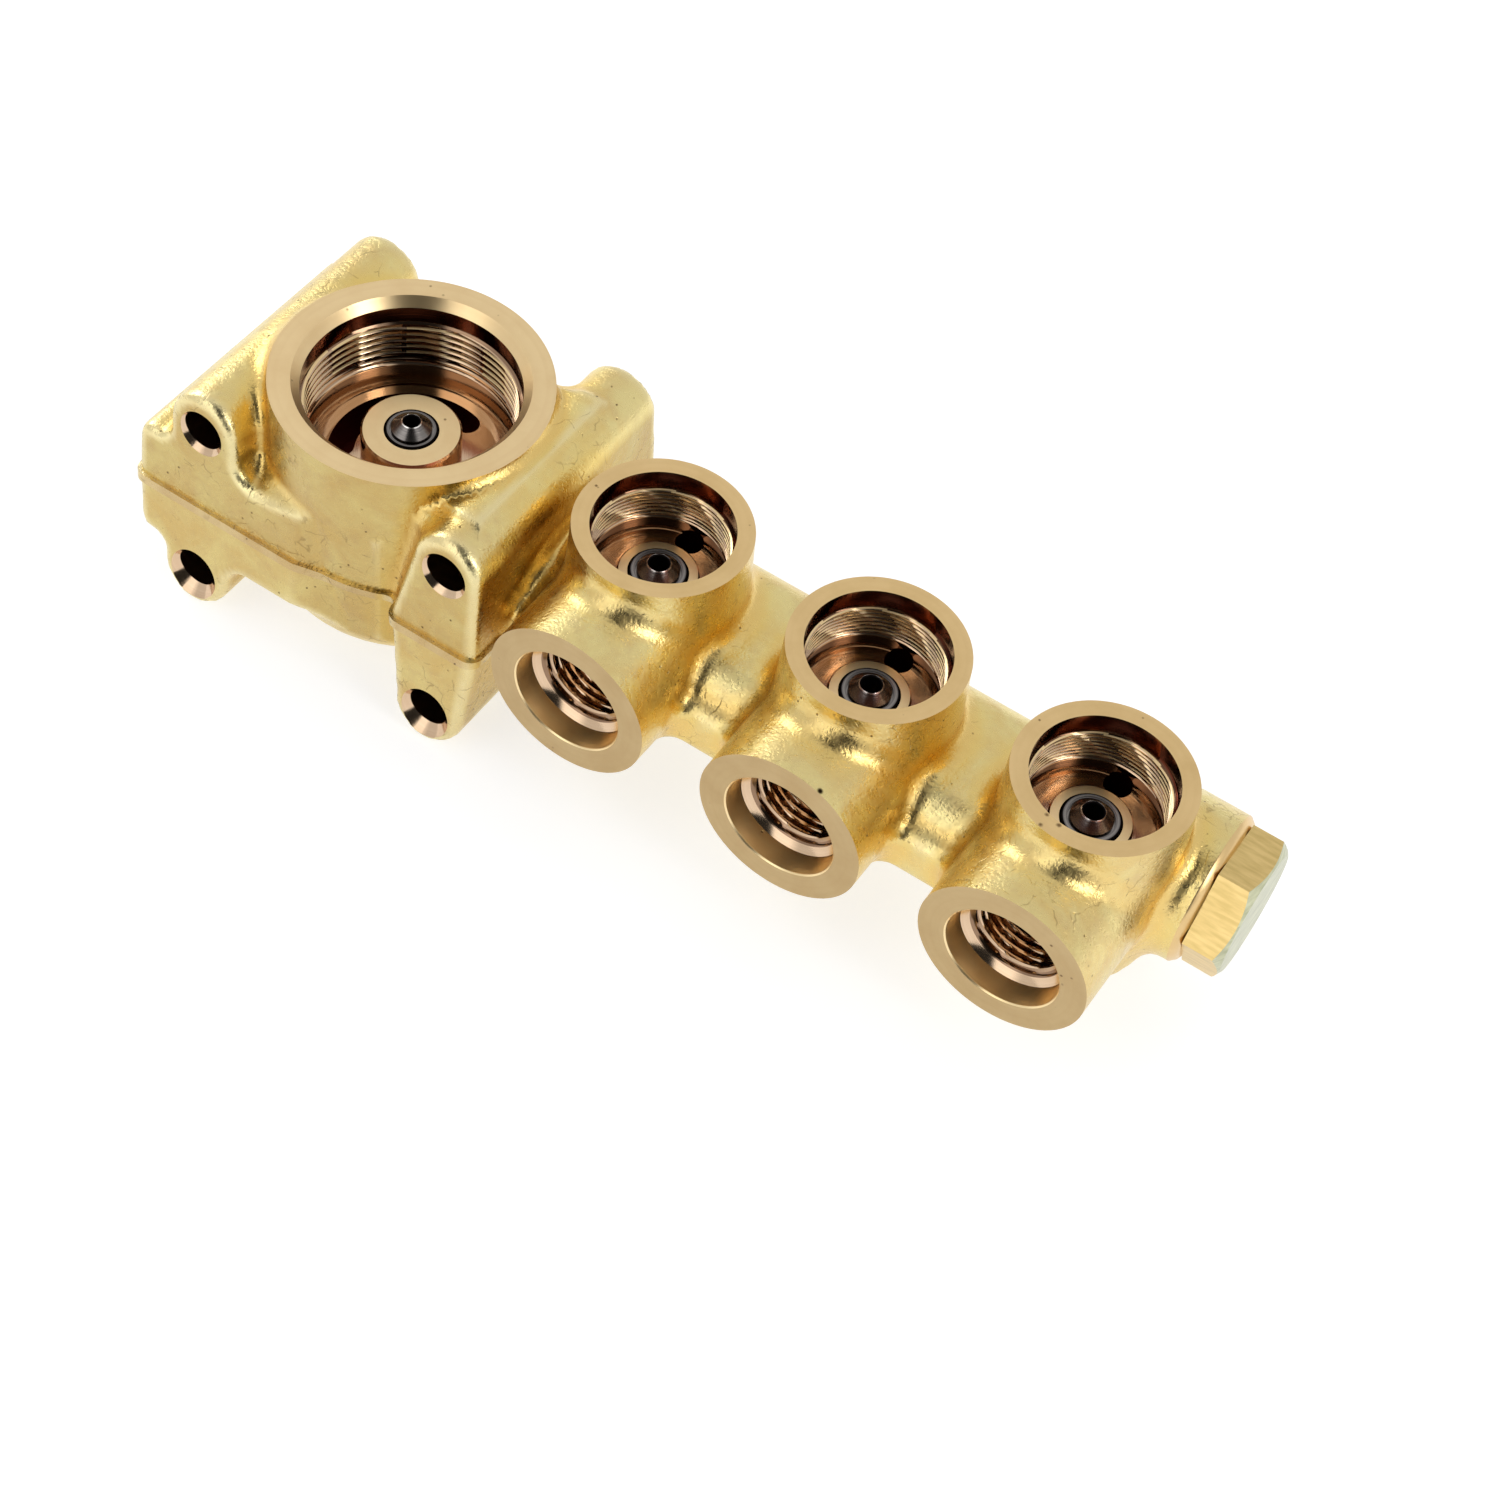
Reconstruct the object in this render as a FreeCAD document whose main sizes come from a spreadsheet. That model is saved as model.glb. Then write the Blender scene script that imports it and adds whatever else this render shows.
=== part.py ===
import FreeCAD, Part
import Sketcher
import os
import re

# Forged brass valve manifold. Origin: axis of the valve port next to the head, in the
# plane of the small port rims. X runs towards the end plug, +Y to the back, +Z up.

doc = FreeCAD.newDocument("valve_manifold")
sheet = doc.addObject("Spreadsheet::Sheet", "Sizes")

SIZES = [
    # layout
    ("port_count", 3, "small valve ports along the bar"),
    ("port_pitch", 35, "pitch of the small valve ports"),
    ("main_x", -43, "main port axis"),
    ("parting_z", -20, "forging parting plane and gallery axis height"),
    ("gallery_y", 7.8, "gallery axis behind the port axes"),
    # small valve towers
    ("rim_r", 12.75, "rim outside radius"),
    ("tower_r", 13.5, "tower radius at the parting plane"),
    ("tower_foot_r", 12.9, "tower radius at its foot"),
    ("tower_foot_z", -31, "underside of the tower"),
    ("tower_foot_cut", 1, "bevel of the foot edge"),
    # outlets
    ("outlet_z", -17.1, "outlet axis height"),
    ("outlet_face_y", -21.6, "outlet face"),
    ("outlet_r", 12.7, "outlet face radius"),
    ("outlet_root_r", 13.0, "outlet radius where it meets the tower"),
    ("saddle_round", 3.5, "blend between outlet and tower"),
    # bar
    ("bar_half", 8, "half height of the bar"),
    ("bar_top_front", -8, "front edge of the flat top"),
    ("bar_step_y", -10.4, "foot of the shoulder"),
    ("bar_step_half", 4.7, "half height at the foot of the shoulder"),
    ("bar_lip_y", -12.6, "start of the lip"),
    ("bar_lip_half", 4.1, "half height of the lip"),
    ("bar_front", -13.4, "trimmed front face"),
    ("bar_front_half", 3, "half height of the trimmed face"),
    ("bar_round", 1.5, "rounding along the bar"),
    # plug boss
    ("boss_r", 11.4, "plug boss radius"),
    ("boss_start", 9, "start of the full plug boss beyond the last port"),
    ("boss_reach", 18, "machined end of the plug boss beyond the last port"),
    ("boss_flare", 3, "length of the flare into the bar"),
    # main tower
    ("main_rim_z", 0.96, "main rim height"),
    ("main_rim_r", 20.3, "main rim outside radius"),
    ("main_r", 21, "main tower radius at the parting plane"),
    ("main_foot_r", 20.8, "belly radius at its foot"),
    ("main_foot_z", -36.3, "underside of the belly"),
    ("main_foot_round", 5, "rounding of the belly"),
    # head
    ("bolt_pitch_x", 42.5, "bolt spacing along the bar"),
    ("bolt_pitch_z", 26.5, "bolt spacing in height"),
    ("bolt_r", 3.2, "clearance hole for M6"),
    ("bolt_chamfer_top", 0.45, "mouth chamfer of the upper holes"),
    ("bolt_chamfer_low", 0.85, "mouth chamfer of the lower holes"),
    ("lug_r", 5.8, "radius of the bolt lugs"),
    ("lug_back", 22.3, "back end of the lugs"),
    ("face_top_y", -20.05, "front of the head at rim height"),
    ("face_part_y", -22, "front of the head at the parting plane"),
    ("face_foot_y", -25.9, "front of the head at its lowest point"),
    ("head_reach", 21, "height of the head above and below the parting plane"),
    ("back_draft", 1.2, "draft offset of the back"),
    ("head_left", -75.8, "left wall at the parting plane"),
    ("head_left_top", -75.7, "left wall at the shoulder"),
    ("shoulder_top", 8.3, "left shoulder above the parting plane"),
    ("shoulder_low", 10.6, "left shoulder below the parting plane"),
    ("shoulder_round", 2, "rounding of the shoulder"),
    ("left_lug_flank", 6.85, "inner flank of the left lugs at the parting plane"),
    ("right_lug_flank", 8.65, "inner flank of the right lugs at the parting plane"),
    ("head_right", -15.4, "right wall at the parting plane"),
    ("slab_top_half", 7.4, "half height of the web above the parting plane"),
    ("slab_low_half", 9.7, "half height of the web below the parting plane"),
    ("slab_right_y", 18.5, "half width of the web beside the right lugs"),
    ("flash_left_drop", 0.8, "top of the left flash below the parting plane"),
    ("flash_right_drop", 0.2, "top of the right flash below the parting plane"),
    ("flash_out", 0.9, "width of the trimmed flash"),
    ("flash_t", 1.3, "thickness of the trimmed flash"),
    ("flash_corner", 1.6, "corner cut of the flash outline"),
    ("face_end", 4, "end of the flat front before the main port axis"),
    ("face_merge", 5, "run-out of the flat front into the main tower"),
    ("spotface_r", 13.5, "spotface radius round an outlet face"),
    # small chamber
    ("mouth_r", 10.2, "plain counterbore radius"),
    ("mouth_depth", 2.7, "plain counterbore depth"),
    ("valve_minor_r", 9.6, "minor radius of the M20 x 0.75 thread"),
    ("valve_thread_top", 4.0, "start of the thread below the rim"),
    ("valve_thread_end", 8.8, "end of the thread below the rim"),
    ("relief_r", 10.0, "thread relief radius"),
    ("ledge_depth", 10.1, "sealing ledge below the rim"),
    ("ledge_inner_r", 8.75, "inner edge of the ledge"),
    ("channel_depth", 11.5, "annular channel floor below the rim"),
    ("seat_boss_r", 5.9, "seat boss radius"),
    ("seat_boss_depth", 9.5, "top of the seat boss below the rim"),
    ("feed_r", 2.0, "feed hole from the gallery"),
    # main chamber
    ("main_mouth_r", 17, "mouth chamfer radius"),
    ("main_plain_r", 15.75, "plain bore radius"),
    ("main_plain_top", 0.4, "start of the plain bore"),
    ("main_plain_end", 3.1, "end of the plain bore"),
    ("main_minor_r", 15.2, "minor radius of the main thread"),
    ("main_thread_top", 4.3, "start of the main thread"),
    ("main_thread_end", 11.5, "end of the main thread"),
    ("main_relief_r", 15.9, "main thread relief radius"),
    ("main_ledge_depth", 13, "sealing ledge depth"),
    ("main_ledge_inner_r", 13, "inner edge of the ledge"),
    ("main_channel_depth", 14.3, "annular channel floor depth"),
    ("main_boss_r", 7.3, "main seat boss radius"),
    ("main_boss_depth", 9.2, "top of the main seat boss"),
    ("kidney_outer_r", 12.2, "outer radius of the kidney pocket"),
    ("kidney_inner_r", 8.3, "inner radius of the kidney pocket"),
    ("kidney_start", 75, "start angle of the kidney pocket"),
    ("kidney_sweep", 135, "sweep of the kidney pocket"),
    ("kidney_depth", 21, "floor of the kidney pocket"),
    # galleries and outlets
    ("gallery_r", 4, "gallery drilling radius"),
    ("gallery_end", -51, "blind end of the gallery under the main chamber"),
    ("sink_r", 8.65, "outlet countersink radius"),
    ("land_r", 6.95, "outlet land radius"),
    ("sink_depth", 1.7, "countersink depth"),
    ("land_depth", 3.6, "land depth"),
    ("outlet_minor_r", 5.725, "minor radius of the G1/4 thread"),
    ("outlet_thread_end", 14, "end of the outlet thread below its face"),
    ("outlet_drill_r", 4, "outlet drilling beyond the thread"),
    ("outlet_drill_end", 1.5, "blind end of the outlet drilling behind the port axis"),
    # seats
    ("seat_r", 4.05, "seat insert radius"),
    ("seat_clear", 0.02, "radial clearance of seats and plug"),
    ("seat_mouth_r", 4.2, "chamfer round the seat insert"),
    ("seat_foot_depth", 13.2, "foot of the seat insert below the rim"),
    ("seat_ring_depth", 9.1, "top of the seat's outer ring"),
    ("seat_ring_r", 3.3, "inner edge of the outer ring"),
    ("seat_groove_depth", 9.7, "floor of the ring groove"),
    ("seat_cone_r", 3.05, "cone base radius"),
    ("seat_cone_depth", 8.8, "cone base depth"),
    ("seat_lip_r", 1.64, "orifice lip radius"),
    ("seat_lip_depth", 7.5, "orifice lip depth"),
    ("orifice_r", 1.45, "orifice radius"),
    ("main_seat_r", 3.7, "main seat insert radius"),
    ("main_seat_mouth_r", 3.85, "chamfer round the main seat insert"),
    ("main_seat_ring_depth", 9.0, "top of the main seat's outer ring"),
    ("main_seat_ring_r", 3.2, "inner edge of the main outer ring"),
    ("main_seat_groove_depth", 9.5, "floor of the main ring groove"),
    ("main_seat_cone_r", 2.96, "main cone base radius"),
    ("main_seat_cone_depth", 8.65, "main cone base depth"),
    ("main_seat_lip_r", 1.35, "main orifice lip radius"),
    ("main_seat_lip_depth", 7.4, "main orifice lip depth"),
    ("main_orifice_r", 1.2, "main orifice radius"),
    ("seat_passage_r", 2.2, "passage under a seat"),
    ("main_passage_end", 22, "blind end of the passage under the main seat"),
    # end plug
    ("plug_af", 19, "hexagon across flats"),
    ("plug_turn", 55.8, "angle of the first hexagon corner"),
    ("plug_head", 5.7, "hexagon thickness"),
    ("plug_face_r", 9.1, "flat radius of the plug's end face"),
    ("plug_shank_r", 6.58, "G1/4 thread radius"),
    ("plug_shank", 9, "shank length"),
    # cutters
    ("overshoot", 1, "how far a cutter passes the face that it opens"),
    ("spotface_height", 3, "height of the spotface cutter"),
]


def fill_sheet():
    for row, (alias, value, note) in enumerate(SIZES, start=1):
        sheet.set("A%d" % row, alias)
        sheet.set("B%d" % row, str(value))
        sheet.set("C%d" % row, note)
        sheet.setAlias("B%d" % row, alias)
    doc.recompute()


def named(formula):
    """Write the sheet's name in front of every size in a formula."""
    known = set(alias for alias, value, note in SIZES)
    return re.sub(r"[a-z]\w*", lambda m: "Sizes." + m.group() if m.group() in known
                  else m.group(), formula)


def bind(obj, **formulas):
    for name, formula in formulas.items():
        obj.setExpression(name.replace("__", "."), named(formula))


def origin_plane(body, role):
    return next(f for f in body.Origin.OriginFeatures if f.Role == role)


def new_sketch(body, name, role, **offset):
    """Sketch on an origin plane, moved by the formulas in offset (x, y, z)."""
    sketch = body.newObject("Sketcher::SketchObject", name)
    sketch.AttachmentSupport = [(origin_plane(body, role), "")]
    sketch.MapMode = "FlatFace"
    for axis, formula in offset.items():
        bind(sketch, **{"AttachmentOffset__Base__" + axis: formula})
    return sketch


def draw_outline(sketch, corners):
    """Closed outline through corners given as pairs of formulas."""
    count = len(corners)
    guess = FreeCAD.Vector(1, 0, 0)
    turn = FreeCAD.Rotation(FreeCAD.Vector(0, 0, 1), 360.0 / count)
    points = [guess]
    for _ in range(count - 1):
        points.append(turn.multVec(points[-1]))
    for i in range(count):
        sketch.addGeometry(Part.LineSegment(points[i], points[(i + 1) % count]))
    for i in range(count):
        sketch.addConstraint(Sketcher.Constraint("Coincident", i, 2, (i + 1) % count, 1))
    for i, corner in enumerate(corners):
        for direction, formula in zip(("DistanceX", "DistanceY"), corner):
            index = sketch.addConstraint(Sketcher.Constraint(direction, -1, 1, i, 1, 1.0))
            sketch.setExpression("Constraints[%d]" % index, named(formula))


def new_body(name):
    return doc.addObject("PartDesign::Body", name)


def pad(body, name, role, corners, length, **offset):
    sketch = new_sketch(body, name + "_outline", role, **offset)
    draw_outline(sketch, corners)
    feature = body.newObject("PartDesign::Pad", name + "_pad")
    feature.Profile = sketch
    bind(feature, Length=length)
    return feature


def turn_on(body, name, role, corners, axis="V_Axis", **offset):
    """Solid of revolution about a sketch axis; corners are (radius, height) formulas."""
    sketch = new_sketch(body, name + "_profile", role, **offset)
    draw_outline(sketch, corners)
    feature = body.newObject("PartDesign::Revolution", name + "_turn")
    feature.Profile = sketch
    feature.ReferenceAxis = (sketch, [axis])
    feature.Angle = 360
    return feature


def turned(name, corners, x="0", axis="V_Axis", role="XZ_Plane", **offset):
    body = new_body(name)
    if role == "XZ_Plane":
        offset["x"] = x
    turn_on(body, name, role, corners, axis, **offset)
    return body


def drill(name, axis, radius, length, x, y, z, angle=None):
    """Cylinder from a point along an axis."""
    tool = doc.addObject("Part::Cylinder", name)
    tool.Placement.Rotation = FreeCAD.Rotation(FreeCAD.Vector(0, 0, 1), FreeCAD.Vector(*axis))
    bind(tool, Radius=radius, Height=length, Placement__Base__x=x,
         Placement__Base__y=y, Placement__Base__z=z)
    if angle:
        bind(tool, Angle=angle)
    return tool


def fuse(name, shapes):
    result = doc.addObject("Part::MultiFuse", name)
    result.Shapes = shapes
    return result


def common(name, shapes):
    result = doc.addObject("Part::MultiCommon", name)
    result.Shapes = shapes
    return result


def cut(name, base, tool):
    result = doc.addObject("Part::Cut", name)
    result.Base = base
    result.Tool = tool
    return result


def round_edges(body, name, radius, wanted):
    """Fillet the edges of the body's tip that wanted(edge) picks."""
    doc.recompute()
    base = body.Tip
    picked = ["Edge%d" % (i + 1) for i, e in enumerate(base.Shape.Edges) if wanted(e)]
    feature = body.newObject("PartDesign::Fillet", name)
    feature.Base = (base, picked)
    bind(feature, Radius=radius)
    return feature


def edge_along_x(edge):
    d = edge.tangentAt(edge.FirstParameter)
    return abs(d.x) > ALIGNED


def edge_along_y(edge):
    d = edge.tangentAt(edge.FirstParameter)
    return abs(d.y) > ALIGNED


fill_sheet()
LAST_PORT = "port_pitch * ( port_count - 1 )"
BOSS_END = LAST_PORT + " + boss_reach"
UP = (0, 0, 1)
OUT = (0, -1, 0)
ALONG = (1, 0, 0)
# edge picking: how straight along an axis, and how near two positions are (mm)
ALIGNED = 0.999
SAME = 0.01


def port_x(i):
    """Position of a small valve port along the bar."""
    return "port_pitch * %d" % i


# ---- forging: bar -------------------------------------------------------------
def make_bar():
    half = [
        ("gallery_y", "bar_half"),
        ("bar_top_front", "bar_half"),
        ("bar_step_y", "bar_step_half"),
        ("bar_lip_y", "bar_lip_half"),
        ("bar_front", "bar_front_half"),
    ]
    upper = [(y, "parting_z + " + h) for y, h in half]
    lower = [(y, "parting_z - " + h) for y, h in reversed(half)]
    body = new_body("bar")
    pad(body, "bar", "YZ_Plane", upper + lower, LAST_PORT + " - main_x", z="main_x")
    corner = (sheet.bar_top_front, sheet.bar_step_y, sheet.bar_lip_y, sheet.bar_front)
    round_edges(body, "bar_round", "bar_round", lambda e: edge_along_x(e)
                and any(abs(e.Vertexes[0].Y - y) < SAME for y in corner))
    back = drill("bar_back", ALONG, "bar_half", LAST_PORT + " + boss_start - main_x",
                 "main_x", "gallery_y", "parting_z")
    boss = turned("plug_boss", [
        (LAST_PORT + " + boss_start - boss_flare", "0"),
        (LAST_PORT + " + boss_start - boss_flare", "bar_half"),
        (LAST_PORT + " + boss_start", "boss_r"),
        (BOSS_END, "boss_r"),
        (BOSS_END, "0"),
    ], axis="H_Axis", role="XZ_Plane", y="parting_z", z="-gallery_y")
    return [body, back, boss]


# ---- forging: valve stations --------------------------------------------------
def make_station(i):
    x = port_x(i)
    name = "station_%d" % (i + 1)
    body = turned(name, [
        ("0", "0"),
        ("rim_r", "0"),
        ("tower_r", "parting_z"),
        ("tower_foot_r", "tower_foot_z + tower_foot_cut"),
        ("tower_foot_r - tower_foot_cut", "tower_foot_z"),
        ("0", "tower_foot_z"),
    ], x=x)
    turn_on(body, name + "_outlet", "YZ_Plane", [
        ("outlet_face_y", "0"),
        ("outlet_face_y", "outlet_r"),
        ("0", "outlet_root_r"),
        ("0", "0"),
    ], axis="H_Axis", y="outlet_z", z=x)
    round_edges(body, name + "_saddle", "saddle_round", is_saddle)
    return body


def is_saddle(edge):
    """Edges where an outlet runs into its tower."""
    box = edge.BoundBox
    return (box.YMin > sheet.outlet_face_y + sheet.overshoot
            and box.YMax < -sheet.overshoot and box.ZMax > sheet.outlet_z)


# ---- forging: head ------------------------------------------------------------
def left_lug_half(sign, shoulder):
    """Left lug above or below the parting plane, from its wall to its flank."""
    middle = "main_x - bolt_pitch_x / 2"
    top = "parting_z %s bolt_pitch_z / 2" % sign
    shelf = "parting_z %s %s" % (sign, shoulder)
    return [("head_left_top", shelf), (middle, shelf), (middle, top), (middle + " + lug_r", top)]


def right_lug_half(sign):
    middle = "main_x + bolt_pitch_x / 2"
    top = "parting_z %s bolt_pitch_z / 2" % sign
    return [(middle + " - lug_r", top), (middle + " + lug_r", top)]


def lug_profile(left):
    """Flanks of a lug pair above and below the parting plane."""
    if left:
        wall = ("head_left", "parting_z")
        flank = ("main_x - bolt_pitch_x / 2 + left_lug_flank", "parting_z")
        upper = left_lug_half("+", "shoulder_top")
        lower = left_lug_half("-", "shoulder_low")
    else:
        wall = ("main_x + bolt_pitch_x / 2 - right_lug_flank", "parting_z")
        flank = ("head_right", "parting_z")
        upper = right_lug_half("+")
        lower = right_lug_half("-")
    return [wall] + upper + [flank] + lower[::-1]


def make_head():
    blanks = []
    for side, left in (("left", True), ("right", False)):
        body = new_body("lug_" + side)
        pad(body, "lug_" + side, "XZ_Plane", lug_profile(left),
            "lug_back - face_foot_y + back_draft", z="-lug_back - back_draft")
        if left:
            round_edges(body, "shoulder_round", "shoulder_round", lambda e: edge_along_y(e)
                        and abs(e.Vertexes[0].X - sheet.head_left_top) < SAME)
        blanks.append(body)
        x = "main_x %s bolt_pitch_x / 2" % ("-" if left else "+")
        for level, sign in (("top", "+"), ("low", "-")):
            blanks.append(drill("lug_%s_%s" % (side, level), OUT, "lug_r",
                                "lug_back - face_foot_y + back_draft", x,
                                "lug_back + back_draft",
                                "parting_z %s bolt_pitch_z / 2" % sign))
    web_left = new_body("web_left")
    pad(web_left, "web_left", "XY_Plane", [
        ("main_x - bolt_pitch_x / 2", "face_foot_y"),
        ("main_x - face_end", "face_foot_y"),
        ("main_x - face_end", "face_part_y"),
        ("main_x + face_merge", "-main_rim_r"),
        ("main_x + face_merge", "main_rim_r"),
        ("main_x - face_end", "-face_part_y"),
        ("main_x - face_end", "lug_back + back_draft"),
        ("main_x - bolt_pitch_x / 2", "lug_back + back_draft"),
    ], "slab_top_half + slab_low_half", z="parting_z - slab_low_half")
    web_right = new_body("web_right")
    pad(web_right, "web_right", "XY_Plane", [
        ("main_x", "-slab_right_y"),
        ("main_x + bolt_pitch_x / 2", "-slab_right_y"),
        ("main_x + bolt_pitch_x / 2", "slab_right_y"),
        ("main_x", "slab_right_y"),
    ], "slab_top_half + slab_low_half", z="parting_z - slab_low_half")
    trim = new_body("head_trim")
    pad(trim, "head_trim", "YZ_Plane", [
        ("face_top_y", "parting_z + head_reach"),
        ("face_part_y", "parting_z"),
        ("face_foot_y", "parting_z - head_reach"),
        ("lug_back", "parting_z - head_reach"),
        ("lug_back + back_draft", "parting_z"),
        ("lug_back", "parting_z + head_reach"),
    ], "head_right - head_left", z="head_left")
    rough = fuse("head_rough", blanks + [web_left, web_right])
    head = common("head_block", [rough, trim])
    tower = turned("main_tower", [
        ("0", "main_rim_z"),
        ("main_rim_r", "main_rim_z"),
        ("main_r", "parting_z"),
        ("main_foot_r", "main_foot_z"),
        ("0", "main_foot_z"),
    ], x="main_x")
    round_edges(tower, "main_tower_foot", "main_foot_round",
                lambda e: abs(e.BoundBox.ZMax - sheet.main_foot_z) < SAME)
    return [head, tower] + make_flash()


def make_flash():
    bottom = "parting_z - flash_left_drop - flash_t"
    left = new_body("flash_left")
    pad(left, "flash_left", "XY_Plane", [
        ("head_left - flash_out", "face_part_y + flash_corner"),
        ("head_left - flash_out + flash_corner", "face_part_y - flash_out"),
        ("main_x - face_end", "face_part_y - flash_out"),
        ("main_x + face_merge", "-main_rim_r - flash_out"),
        ("main_x + face_merge", "main_rim_r + flash_out"),
        ("main_x - face_end", "lug_back + back_draft + flash_out"),
        ("head_left - flash_out + flash_corner", "lug_back + back_draft + flash_out"),
        ("head_left - flash_out", "lug_back + back_draft - flash_corner"),
    ], "flash_t", z=bottom)
    right = new_body("flash_right")
    inner = "main_x + bolt_pitch_x / 2 - right_lug_flank - flash_out"
    pad(right, "flash_right", "XY_Plane", [
        (inner, "face_part_y + 2 * flash_corner"),
        (inner + " + flash_corner", "face_part_y - flash_out"),
        ("head_right - flash_corner", "face_part_y - flash_out"),
        ("head_right + flash_out", "face_part_y + flash_corner"),
        ("head_right + flash_out", "lug_back + back_draft - flash_corner"),
        ("head_right - flash_corner", "lug_back + back_draft + flash_out"),
        (inner + " + flash_corner", "lug_back + back_draft + flash_out"),
        (inner, "lug_back + back_draft - flash_corner"),
    ], "flash_t", z="parting_z - flash_right_drop - flash_t")
    ring = drill("flash_ring", UP, "main_r + flash_out", "flash_t", "main_x", "0", bottom)
    return [left, right, ring]


# ---- machining ----------------------------------------------------------------
def chamber_tool(i):
    return turned("chamber_%d" % (i + 1), [
        ("0", "overshoot"),
        ("mouth_r", "overshoot"),
        ("mouth_r", "-mouth_depth"),
        ("valve_minor_r", "-valve_thread_top"),
        ("valve_minor_r", "-valve_thread_end"),
        ("relief_r", "-valve_thread_end"),
        ("relief_r", "-ledge_depth"),
        ("ledge_inner_r", "-ledge_depth"),
        ("ledge_inner_r", "-channel_depth"),
        ("seat_boss_r", "-channel_depth"),
        ("seat_boss_r", "-seat_boss_depth"),
        ("0", "-seat_boss_depth"),
    ], x=port_x(i))


def seat_pocket(name, x, radius, mouth, top, foot, end):
    """Bore for a seat insert with a mouth chamfer and the passage below it."""
    return turned(name, [
        ("0", "-%s + overshoot / 2" % top),
        (mouth, "-%s + overshoot / 2" % top),
        (mouth, "-" + top),
        ("%s + seat_clear" % radius, "-%s - %s + %s" % (top, mouth, radius)),
        ("%s + seat_clear" % radius, "-" + foot),
        ("seat_passage_r", "-" + foot),
        ("seat_passage_r", end),
        ("0", end),
    ], x=x)


def outlet_tool(i):
    return turned("outlet_bore_%d" % (i + 1), [
        ("outlet_face_y - overshoot", "0"),
        ("outlet_face_y - overshoot", "sink_r"),
        ("outlet_face_y", "sink_r"),
        ("outlet_face_y + sink_depth", "land_r"),
        ("outlet_face_y + land_depth", "land_r"),
        ("outlet_face_y + land_depth + land_r - outlet_minor_r", "outlet_minor_r"),
        ("outlet_face_y + outlet_thread_end", "outlet_minor_r"),
        ("outlet_face_y + outlet_thread_end + outlet_minor_r - outlet_drill_r", "outlet_drill_r"),
        ("outlet_drill_end", "outlet_drill_r"),
        ("outlet_drill_end + outlet_drill_r / 2", "0"),
    ], axis="H_Axis", role="YZ_Plane", y="outlet_z", z=port_x(i))


def make_tools():
    tools = []
    for i in range(int(sheet.port_count)):
        x = port_x(i)
        tools.append(chamber_tool(i))
        tools.append(seat_pocket("seat_pocket_%d" % (i + 1), x, "seat_r", "seat_mouth_r",
                                 "seat_boss_depth", "seat_foot_depth", "outlet_z"))
        tools.append(outlet_tool(i))
        tools.append(drill("feed_%d" % (i + 1), UP, "feed_r", "-parting_z - valve_thread_end", x,
                           "gallery_y", "parting_z"))
    tools.append(turned("main_chamber", [
        ("0", "main_rim_z + overshoot"),
        ("main_mouth_r", "main_rim_z + overshoot"),
        ("main_mouth_r", "main_rim_z"),
        ("main_plain_r", "-main_plain_top"),
        ("main_plain_r", "-main_plain_end"),
        ("main_minor_r", "-main_thread_top"),
        ("main_minor_r", "-main_thread_end"),
        ("main_relief_r", "-main_thread_end"),
        ("main_relief_r", "-main_ledge_depth"),
        ("main_ledge_inner_r", "-main_ledge_depth"),
        ("main_ledge_inner_r", "-main_channel_depth"),
        ("main_boss_r", "-main_channel_depth"),
        ("main_boss_r", "-main_boss_depth"),
        ("0", "-main_boss_depth"),
    ], x="main_x"))
    tools.append(seat_pocket("main_seat_pocket", "main_x", "main_seat_r", "main_seat_mouth_r",
                             "main_boss_depth", "seat_foot_depth", "-main_passage_end"))
    sector = drill("kidney_sector", UP, "kidney_outer_r", "kidney_depth", "main_x", "0",
                   "-kidney_depth", angle="kidney_sweep")
    sector.Placement.Rotation = FreeCAD.Rotation(FreeCAD.Vector(0, 0, 1), sheet.kidney_start)
    core = drill("kidney_core", UP, "kidney_inner_r", "kidney_depth + overshoot", "main_x",
                 "0", "-kidney_depth - overshoot / 2")
    tools.append(cut("kidney_pocket", sector, core))
    tools.append(drill("gallery", ALONG, "gallery_r", BOSS_END + " - gallery_end", "gallery_end",
                       "gallery_y", "parting_z"))
    tools.append(drill("plug_bore", ALONG, "plug_shank_r + seat_clear",
                       "plug_shank + 2 * overshoot", BOSS_END + " - plug_shank - overshoot",
                       "gallery_y", "parting_z"))
    tools.append(drill("spotface", OUT, "spotface_r", "spotface_height", "0",
                       "outlet_face_y", "outlet_z"))
    tools += bolt_tools()
    return tools


def bolt_tools():
    tools = []
    for side, sx in (("left", "-"), ("right", "+")):
        x = "main_x %s bolt_pitch_x / 2" % sx
        for level, sz in (("top", "+"), ("low", "-")):
            name = "bolt_%s_%s" % (side, level)
            z = "parting_z %s bolt_pitch_z / 2" % sz
            tools.append(drill(name, OUT, "bolt_r",
                               "lug_back + back_draft - face_foot_y + 2 * overshoot", x,
                               "lug_back + back_draft + overshoot", z))
            face = ("( %s - face_part_y ) * bolt_pitch_z / 2 / head_reach + face_part_y"
                    % ("face_top_y" if level == "top" else "face_foot_y"))
            sink = doc.addObject("Part::Cone", name + "_mouth")
            sink.Placement.Rotation = FreeCAD.Rotation(FreeCAD.Vector(0, 0, 1),
                                                       FreeCAD.Vector(*OUT))
            chamfer = "bolt_chamfer_" + level
            bind(sink, Radius1="bolt_r", Radius2="bolt_r + 2 * " + chamfer,
                 Height="2 * " + chamfer, Placement__Base__x=x, Placement__Base__z=z,
                 Placement__Base__y=face + " + " + chamfer)
            tools.append(sink)
    return tools


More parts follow.
